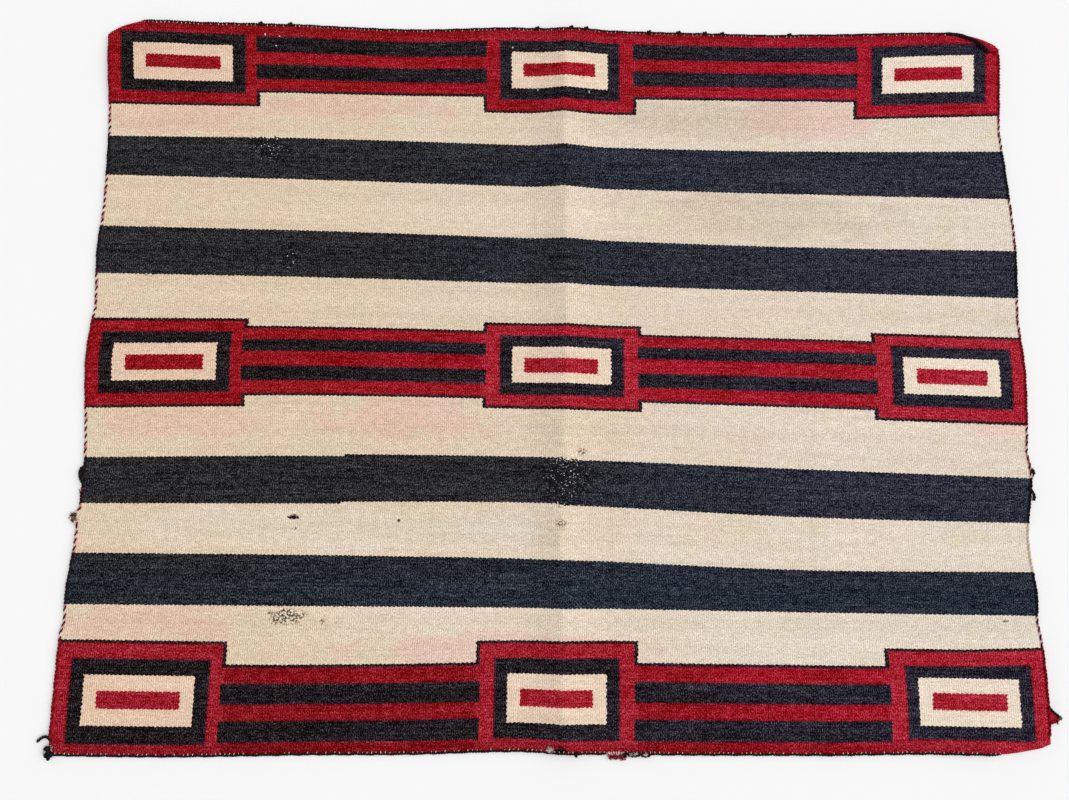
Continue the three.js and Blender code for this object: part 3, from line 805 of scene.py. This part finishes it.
def path_mesh(name, paths):
    """A mesh of bare edges, one chain for each path."""
    points = []
    edges = []
    for path in paths:
        edges += [(len(points) + i, len(points) + i + 1) for i in range(len(path) - 1)]
        points += [list(map(float, point)) for point in path]
    mesh = bpy.data.meshes.new(name)
    mesh.from_pydata(points, edges, [])
    return mesh


def beside_edge(u, v, out, apart, above=0.0003):
    """The path of a cord along an edge of the weave, over the ridge and round the turned corners with it."""
    x, y = on_floor(u, v)
    apart = apart + 0.0004 * np.sin((u + v) * 150.0) + 0.0003 * np.sin((u - v) * 330.0 + 1.0)
    x = x + out[0] * apart
    y = y + out[1] * apart
    places = np.column_stack([x, y, stands_off(x, y) + CLOTH_THICKNESS / 2 + above])
    for corner in TURNED_CORNERS:
        turned(places, np.zeros_like(places), corner)
    return places


def twined(name, paths, tree, strand, lay, slot, *nodes):
    cord = new_piece(name, path_mesh(name, paths))
    grown(cord, tree, {"Strand Radius": strand, "Lay": lay, "Step": CORD_STEP})
    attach(cord, "root")
    if nodes:
        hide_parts(*nodes)
    return cord


def edge_u(edge, x):
    """Where in the weave an end is, at a place across."""
    return in_weave((x, smooth_line(edge, [x])[0]))[0]


def end_path(start, end, v, side):
    """The path of a cord along one end, from one place across to another."""
    edge = FAR_END if side > 0 else NEAR_END
    u = np.linspace(edge_u(edge, start), edge_u(edge, end), END_POINTS)
    return beside_edge(u, np.full(END_POINTS, v), (0, side), END_OUT)


def overhand(x, y, z, size):
    """The path of a small knot pulled tight."""
    turn = np.linspace(0, 2 * math.pi, KNOT_POINTS)
    return np.column_stack([
        x + size * (np.sin(turn) + 2 * np.sin(2 * turn)),
        y + size * (np.cos(turn) - 2 * np.cos(2 * turn)),
        z - size * np.sin(3 * turn),
    ])


def drawn(points, low, high, seed):
    """A number for each point, drawn between two."""
    return points.node("FunctionNodeRandomValue", {"data_type": "FLOAT"}, {2: low, 3: high, "Seed": seed}, 1)


def loop_tree(wool):
    """Small loops of yarn that stand across a path, with some of them gone."""
    path, spacing, loop_radius, yarn_radius, gone = new_tree("warp_loops", {
        "Path": "Geometry", "Spacing": "Float", "Loop Radius": "Float", "Yarn Radius": "Float",
        "Share Gone": "Float",
    })
    line = path.node("GeometryNodeMeshToCurve", {}, {0: path})
    points = line.node("GeometryNodeCurveToPoints", {"mode": "LENGTH"}, {"Curve": line, "Length": spacing})
    lost = points.node("FunctionNodeRandomValue", {"data_type": "BOOLEAN"},
                       {"Probability": gone, "Seed": 4}, 3)
    points = points.node("GeometryNodeDeleteGeometry", {"domain": "POINT"},
                         {"Geometry": points, "Selection": lost})
    arc = points.node("GeometryNodeCurveArc", {"mode": "RADIUS"},
                      {"Resolution": 5, "Radius": loop_radius, "Sweep Angle": math.pi})
    lean = points.node("FunctionNodeRandomValue", {"data_type": "FLOAT_VECTOR"},
                       {0: (1.2, 0.0, 1.0), 1: (1.9, 0.0, 2.1), "Seed": 7})
    loops = points.node("GeometryNodeInstanceOnPoints", {}, {
        "Points": points, "Instance": tube(arc, 4, yarn_radius), "Rotation": lean,
        "Scale": drawn(points, 0.6, 1.15, 9),
    })
    return end_tree(loops, wool)


def plain_wool(name, first, second):
    """Yarn of one colour, lighter and darker in spots."""
    material, shader, start = new_wool(name)
    place = start.node("ShaderNodeTexCoord", {}, {}, 3)
    spot = place.node("ShaderNodeTexNoise", {}, {"Vector": place, "Scale": 260.0, "Detail": 2.0})
    end_wool(shader, spot.rising(0.3, 0.7).mixed(first, second), spot, 0.4, 0.0004)
    return material


dark_cord = cord_tree("dark_cord", twined_wool("dark_cord", dyed(28, 24, 27), dyed(40, 32, 33)))
near_paths = [
    end_path(NEAR_CORD[0], NEAR_BREAK[0], NEAR_V, -1),
    end_path(NEAR_BREAK[1], NEAR_CORD[1], NEAR_V, -1),
]
far_paths = [end_path(*FAR_CORD, FAR_V, 1)]
end_cords = [
    twined("end_cord_near_end", near_paths, dark_cord, END_STRAND, END_LAY, "dark_cord", "end_cord_near"),
    twined("end_cord_far_end", far_paths, dark_cord, END_STRAND, END_LAY, "dark_cord", "end_cord_far"),
]
knot_paths = []
for knots, end, side in ((FAR_KNOTS, FAR_END, 1), (NEAR_KNOTS, NEAR_END, -1)):
    knot_x = np.array(knots)
    knot_y = smooth_line(end, knot_x) + side * (END_OUT + END_KNOT_OUT)
    knot_z = stands_off(knot_x, knot_y) + END_KNOT_RISE
    knot_paths += [overhand(*place, END_KNOT_SIZE) for place in zip(knot_x, knot_y, knot_z)]
end_knots = twined("end_cord_knots", knot_paths, dark_cord, END_KNOT_STRAND, END_LAY, "dark_cord")
lump_paths = []
for start, end in NEAR_LUMPS:
    lump_x = np.linspace(start, end, 12)
    swell = LUMP_OUT * np.sin((lump_x - start) * math.pi / (end - start))
    lump_y = smooth_line(NEAR_END, lump_x) - END_OUT - swell
    lump_paths.append(np.column_stack([lump_x, lump_y, stands_off(lump_x, lump_y) + LUMP_RISE]))
end_lumps = twined("end_cord_lumps", lump_paths, dark_cord, LUMP_STRAND, END_LAY, "dark_cord")
loop_u = np.linspace(*LOOP_SPAN, LOOP_POINTS)
loop_paths = []
for at, side in ((NEAR_V, -1), (FAR_V, 1)):
    loop_path = beside_edge(loop_u, np.full(LOOP_POINTS, at), (0, side), -LOOP_IN)
    loop_path[:, 2] += CLOTH_THICKNESS / 2 - LOOP_SUNK
    loop_paths.append(loop_path)
warp_loops = new_piece("warp_loops", path_mesh("warp_loops", loop_paths))
grown(warp_loops, loop_tree(plain_wool("warp_wool", dyed(216, 196, 186), dyed(244, 232, 226))),
      {"Spacing": LOOP_SPACING, "Loop Radius": LOOP_RADIUS, "Yarn Radius": LOOP_YARN, "Share Gone": 0.25})
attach(warp_loops, "root")

# The side cords: one dark and one red strand twined through the turns of the wefts along each side, as
# thick as the end cords but laid longer. Where one has come loose it stands out in a loop.
SIDE_STRAND = 0.0016
SIDE_LAY = 0.0140
SIDE_OUT = -0.0003
SIDE_ABOVE = 0.0014  # over the middle of the cloth
SIDE_POINTS = 240
LEFT_CORD = [(-0.916, -0.692), (-0.917, 0.668)]  # both ends of each cord, in plan
RIGHT_CORD = [(0.917, -0.668), (0.911, 0.668)]
SIDE_LOOP_STRAND = 0.0017
SIDE_LOOPS = [
    [(0.9145, -0.177, 0.003), (0.9195, -0.1800, 0.004), (0.9238, -0.1866, 0.004), (0.9205, -0.1930, 0.003),
     (0.9165, -0.198, 0.003)],
    [(0.9110, -0.2160, 0.006), (0.9159, -0.2215, 0.006), (0.9215, -0.2315, 0.004), (0.9205, -0.2395, 0.003)],
    [(-0.8930, -0.1930, 0.004), (-0.9005, -0.1975, 0.004), (-0.9025, -0.2086, 0.004),
     (-0.8990, -0.220, 0.004), (-0.8930, -0.2280, 0.004)],
    [(-0.8930, -0.1990, 0.005), (-0.8985, -0.2030, 0.005), (-0.8990, -0.2110, 0.005),
     (-0.8950, -0.2180, 0.005), (-0.8920, -0.2220, 0.004)],
]
# Where the stripes come to the sides: 0 is cream, 1 black, 2 red and 3 the cream that the cord has worn
# away from.
BESIDE_WEFTS = [
    (-0.5115, 0), (-0.4515, 1), (-0.363, 0), (-0.267, 1), (-0.178, 0), (-0.0805, 2),
    (0.091, 0), (0.1725, 1), (0.268, 0), (0.375, 1), (0.464, 0), (0.533, 2),
]


def stripes_beside(across, worn_from):
    """The same in plan, along the side that is across."""
    rows = [(-1.0, 2)]
    for v, kind in BESIDE_WEFTS:
        rows.append((float(weft_line(np.array([across]), np.array([v]))[0]), 3 if v == worn_from else kind))
    return rows


def side_path(ends, side):
    """The path of a cord along one side, from the place of one end to that of the other."""
    v = np.linspace(in_weave(ends[0])[1], in_weave(ends[1])[1], SIDE_POINTS)
    return beside_edge(np.full(SIDE_POINTS, side * WIDTH / 2), v, (side, 0), SIDE_OUT, SIDE_ABOVE)


def rounded(points, count):
    """A smooth path through a few points."""
    points = np.array(points, float)
    far = np.concatenate([[0], np.cumsum(np.linalg.norm(np.diff(points, axis=0), axis=1))])
    at = np.linspace(0, far[-1], count)
    return np.column_stack([smooth_between(far, points[:, i], at) for i in range(3)])


left_wool = twined_wool("selvage_left", dyed(42, 26, 30), dyed(206, 120, 118), stripes_beside(0.0, None))
right_wool = twined_wool("selvage_right", dyed(42, 24, 28), dyed(184, 88, 94), stripes_beside(1.0, -0.363))
left_selvage = cord_tree("left_selvage", left_wool)
right_selvage = cord_tree("right_selvage", right_wool)
side_cords = [
    twined("side_cord_left_side", [side_path(LEFT_CORD, -1)], left_selvage, SIDE_STRAND, SIDE_LAY,
           "selvage_cord", "side_cord_left"),
    twined("side_cord_right_side", [side_path(RIGHT_CORD, 1)], right_selvage, SIDE_STRAND, SIDE_LAY,
           "selvage_cord", "side_cord_right"),
    twined("side_cord_loops", [rounded(loop, 30) for loop in SIDE_LOOPS], dark_cord, SIDE_LOOP_STRAND,
           END_LAY, "selvage_cord"),
]

# The corner cords: the last of the end cords, which goes round each turned corner with the cloth. The one
# at the near right comes out from under the edge over the tip of the corner.
FAR_RIGHT_STRAND = 0.0020
NEAR_RIGHT_STRAND = 0.0013
CORNER_SELVAGE_STRAND = 0.0009
NEAR_RIGHT_CORD = [
    (0.829, -0.6895, 0.0023), (0.868, -0.650, 0.0023), (0.911, -0.612, 0.0023), (0.9185, -0.6135, 0.0030),
    (0.9255, -0.6235, 0.0046), (0.9345, -0.631, 0.0046), (0.9425, -0.637, 0.0040),
]


def corner_legs(first, last, corner_u, end_side):
    """Along the end from one place across to the corner, and from there along the side to another place."""
    across = np.linspace(edge_u(FAR_END, first), corner_u, 60)
    along = np.linspace(FAR_V, in_weave((end_side, last))[1], 40)
    out = math.copysign(1, corner_u)
    end_leg = np.concatenate([
        beside_edge(across, np.full(60, FAR_V), (0, 1), END_OUT),
        beside_edge(np.full(3, corner_u), np.full(3, FAR_V), (out * 0.7, 0.7), END_OUT),
    ])
    return end_leg, beside_edge(np.full(40, corner_u), along, (out, 0), SIDE_OUT)


far_left_legs = corner_legs(-0.8375, 0.671, -WIDTH / 2, -0.917)
far_right_legs = corner_legs(0.8075, 0.690, WIDTH / 2, 0.911)
corner_cords = [
    twined("corner_cord_far_left_turn", [far_left_legs[0]], dark_cord, END_STRAND, END_LAY, "dark_cord",
           "corner_cord_far_left"),
    twined("corner_cord_far_right_turn", [far_right_legs[0]], dark_cord, FAR_RIGHT_STRAND, END_LAY,
           "dark_cord", "corner_cord_far_right"),
    twined("corner_cord_near_right_turn", [rounded(NEAR_RIGHT_CORD, 70)], dark_cord, NEAR_RIGHT_STRAND,
           END_LAY, "dark_cord", "corner_cord_near_right"),
    twined("corner_selvage_left", [far_left_legs[1]], left_selvage, CORNER_SELVAGE_STRAND, SIDE_LAY,
           "selvage_cord"),
    twined("corner_selvage_right", [far_right_legs[1]], right_selvage, CORNER_SELVAGE_STRAND, SIDE_LAY,
           "selvage_cord"),
]

# The corner knot: where the end cord and the side cord are tied at the one corner that lies open, through
# the last turns of the wefts, with the loose ends of the yarn.
CORNER_KNOT_STRAND = 0.0017
CORNER_KNOTS = [(-0.9150, -0.7215, 0.0064, 0.0021), (-0.9170, -0.7105, 0.0066, 0.0016)]  # places and sizes
KNOT_END = [
    (-0.9120, -0.6965, 0.0052), (-0.9190, -0.6905, 0.0040), (-0.9260, -0.6895, 0.0030),
    (-0.9330, -0.6925, 0.0030), (-0.9395, -0.6985, 0.0030),
]
corner_knot = twined(
    "corner_knot_tied", [*(overhand(*knot) for knot in CORNER_KNOTS), rounded(KNOT_END, 40)], dark_cord,
    CORNER_KNOT_STRAND, END_LAY, "dark_cord", "corner_knot_near_left",
)

# The loose fibres: where a cord has broken or rubbed, the wool works out in tufts, red along the break in the
# near end, grey at the knots, and dark at the pulled point and at the tip of the near right corner. The grey
# fibres laid over the dark lumps of the near cord are a painted highlight on them.
FRAYED = (0.109, 0.138)  # across, where the near cord has gone


def on_cloth(x, y, above):
    """A place over the cloth's upper face."""
    return x, y, float(stands_off(np.array([x]), np.array([y]))[0]) + CLOTH_THICKNESS + above


FRAY = [(x, -0.7080 - 0.0015 * (i % 2), 0.0030) for i, x in enumerate(np.linspace(*FRAYED, 16))]
STUBS = [on_cloth(x, -0.7050, -0.0005) for x in np.linspace(*FRAYED, 7)]
# Grey tufts at the hole near the middle of the near end and at the corner knot; those over the lumps are a
# painted highlight.
FLUFF_AND_HIGHLIGHT = [
    on_cloth(-0.003, -0.7010, 0.0), on_cloth(0.001, -0.7015, 0.0), on_cloth(0.005, -0.7010, 0.0),
    on_cloth(0.003, -0.6990, 0.0), (0.150, -0.7085, 0.0086), (0.158, -0.7085, 0.0086),
    (0.175, -0.7080, 0.0086), (-0.9200, -0.7135, 0.0075), (-0.9110, -0.7080, 0.0070),
]
POINT = [
    (-0.9120, -0.2905, 0.0040), (-0.9095, -0.2880, 0.0045), (-0.9095, -0.2925, 0.0045),
    (-0.9060, -0.2865, 0.0045), (-0.9060, -0.2905, 0.0050), (-0.9055, -0.2945, 0.0045),
]
TIP_END = [(0.9385, -0.6370, 0.0055), (0.9405, -0.6375, 0.0050)]
RED_BITS = [
    (-0.8960, -0.2380, 0.0045), (-0.8975, -0.2430, 0.0045), (-0.9015, 0.1940, 0.0045),
    (0.9285, -0.6430, 0.0050), (0.9330, -0.6440, 0.0045), (-0.9035, -0.2950, 0.0045),
    (-0.8990, -0.3020, 0.0045),
]


def tuft_tree(wool):
    """Short bent fibres, a few at each place, that lean one way more or less."""
    places, count, spread, length, thinness, lean, sway = new_tree("tufts", {
        "Places": "Geometry", "Count": "Int", "Spread": "Float", "Length": "Float", "Thinness": "Float",
        "Lean": "Float", "Sway": "Float",
    })
    points = places.node("GeometryNodeMeshToPoints", {}, {"Mesh": places})
    points = points.node("GeometryNodeDuplicateElements", {"domain": "POINT"},
                         {"Geometry": points, "Amount": count})
    apart = points.node("FunctionNodeRandomValue", {"data_type": "FLOAT_VECTOR"},
                        {0: (-1.0, -1.0, -0.4), 1: (1.0, 1.0, 0.4), "Seed": 3})
    points = points.node("GeometryNodeSetPosition", {}, {"Geometry": points, "Offset": apart.scaled(spread)})
    bend = points.node("GeometryNodeCurveQuadraticBezier", {}, {
        "Resolution": 4, "Start": (0, 0, 0), "Middle": (0.5, 0.05, 0.3), "End": (1.0, 0.3, 0.0),
    })
    turn = points.node("ShaderNodeCombineXYZ", {}, {
        0: drawn(points, -1.2, 1.2, 6), 2: drawn(points, -1.0, 1.0, 5) * sway + lean,
    })
    tufts = points.node("GeometryNodeInstanceOnPoints", {}, {
        "Points": points, "Instance": tube(bend, 3, thinness), "Rotation": turn,
        "Scale": drawn(points, 0.5, 1.2, 8) * length,
    })
    return end_tree(tufts, wool)


def tufted(name, places, tree, sizes):
    mesh = bpy.data.meshes.new(name)
    mesh.from_pydata([list(map(float, place)) for place in places], [], [])
    tufts = new_piece(name, mesh)
    grown(tufts, tree, sizes)
    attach(tufts, "root")
    return tufts


red_tufts = tuft_tree(plain_wool("red_fibre", dyed(92, 14, 26), dyed(172, 54, 68)))
grey_tufts = tuft_tree(plain_wool("grey_fibre", dyed(120, 114, 112), dyed(228, 222, 216)))
pale_tufts = tuft_tree(plain_wool("pale_fibre", dyed(224, 170, 166), dyed(246, 228, 222)))
dark_tufts = tuft_tree(plain_wool("dark_fibre", dyed(36, 32, 30), dyed(132, 122, 106)))
all_round = {"Lean": 0.0, "Sway": math.pi}
outward = {"Lean": -math.pi / 2}
loose_fibres = [
    tufted("fibres_fray", FRAY, red_tufts,
           {"Count": 8, "Spread": 0.0018, "Length": 0.0085, "Thinness": 0.09, "Sway": 0.6, **outward}),
    tufted("fibres_red", RED_BITS, red_tufts,
           {"Count": 9, "Spread": 0.0018, "Length": 0.0042, "Thinness": 0.14, **all_round}),
    tufted("fibres_grey", FLUFF_AND_HIGHLIGHT, grey_tufts,
           {"Count": 14, "Spread": 0.0018, "Length": 0.0045, "Thinness": 0.12, **all_round}),
    tufted("fibres_stubs", STUBS, pale_tufts,
           {"Count": 4, "Spread": 0.0012, "Length": 0.0046, "Thinness": 0.15, "Sway": 0.7, **outward}),
    tufted("fibres_point", POINT, dark_tufts,
           {"Count": 14, "Spread": 0.0020, "Length": 0.0050, "Thinness": 0.15, **all_round}),
    tufted("fibres_tip", TIP_END, dark_tufts,
           {"Count": 10, "Spread": 0.0014, "Length": 0.0030, "Thinness": 0.20, **all_round}),
]

# The floor and the light: a plain pale floor, a broad soft light from the right and an even fill.
FLOOR_HALF = 6.0
FLOOR_TOP = -0.0008  # the lowest strands of the cords rest on it
floor_corners = [
    (x * FLOOR_HALF, y * FLOOR_HALF, FLOOR_TOP) for x, y in ((-1, -1), (1, -1), (1, 1), (-1, 1))
]
floor_mesh = bpy.data.meshes.new("floor")
floor_mesh.from_pydata(floor_corners, [], [(0, 1, 2, 3)])
floor = new_piece("floor", floor_mesh)
floor_paint = bpy.data.materials.new("pale_floor")
floor_paint.use_nodes = True
floor_shader = floor_paint.node_tree.nodes["Principled BSDF"]
floor_shader.inputs["Base Color"].default_value = (0.95, 0.95, 0.95, 1)
floor_shader.inputs["Roughness"].default_value = 0.9
floor_mesh.materials.append(floor_paint)

world = bpy.data.worlds.new("studio")
world.use_nodes = True
world.node_tree.nodes["Background"].inputs["Color"].default_value = (1, 1, 1, 1)
world.node_tree.nodes["Background"].inputs["Strength"].default_value = 0.62
bpy.context.scene.world = world
bpy.context.scene.view_settings.view_transform = "Standard"

lamp = bpy.data.lights.new("soft_light", "SUN")
lamp.angle = math.radians(60)
lamp.energy = 1.65
light = bpy.data.objects.new("soft_light", lamp)
light.location = (3.0, 0.6, 2.2)
light.rotation_euler = (0, math.radians(45), 0)
bpy.context.scene.collection.objects.link(light)

# The camera: held over the near side of the middle, looking almost straight down.
lens = bpy.data.cameras.new("camera")
lens.sensor_fit = "HORIZONTAL"
lens.sensor_width = 36
lens.lens = 27.04
camera = bpy.data.objects.new("camera", lens)
camera.location = (-0.0313, -0.2623, 1.546)
camera.rotation_euler = (math.radians(7.6), 0, math.radians(0.6))
bpy.context.scene.collection.objects.link(camera)
bpy.context.scene.camera = camera
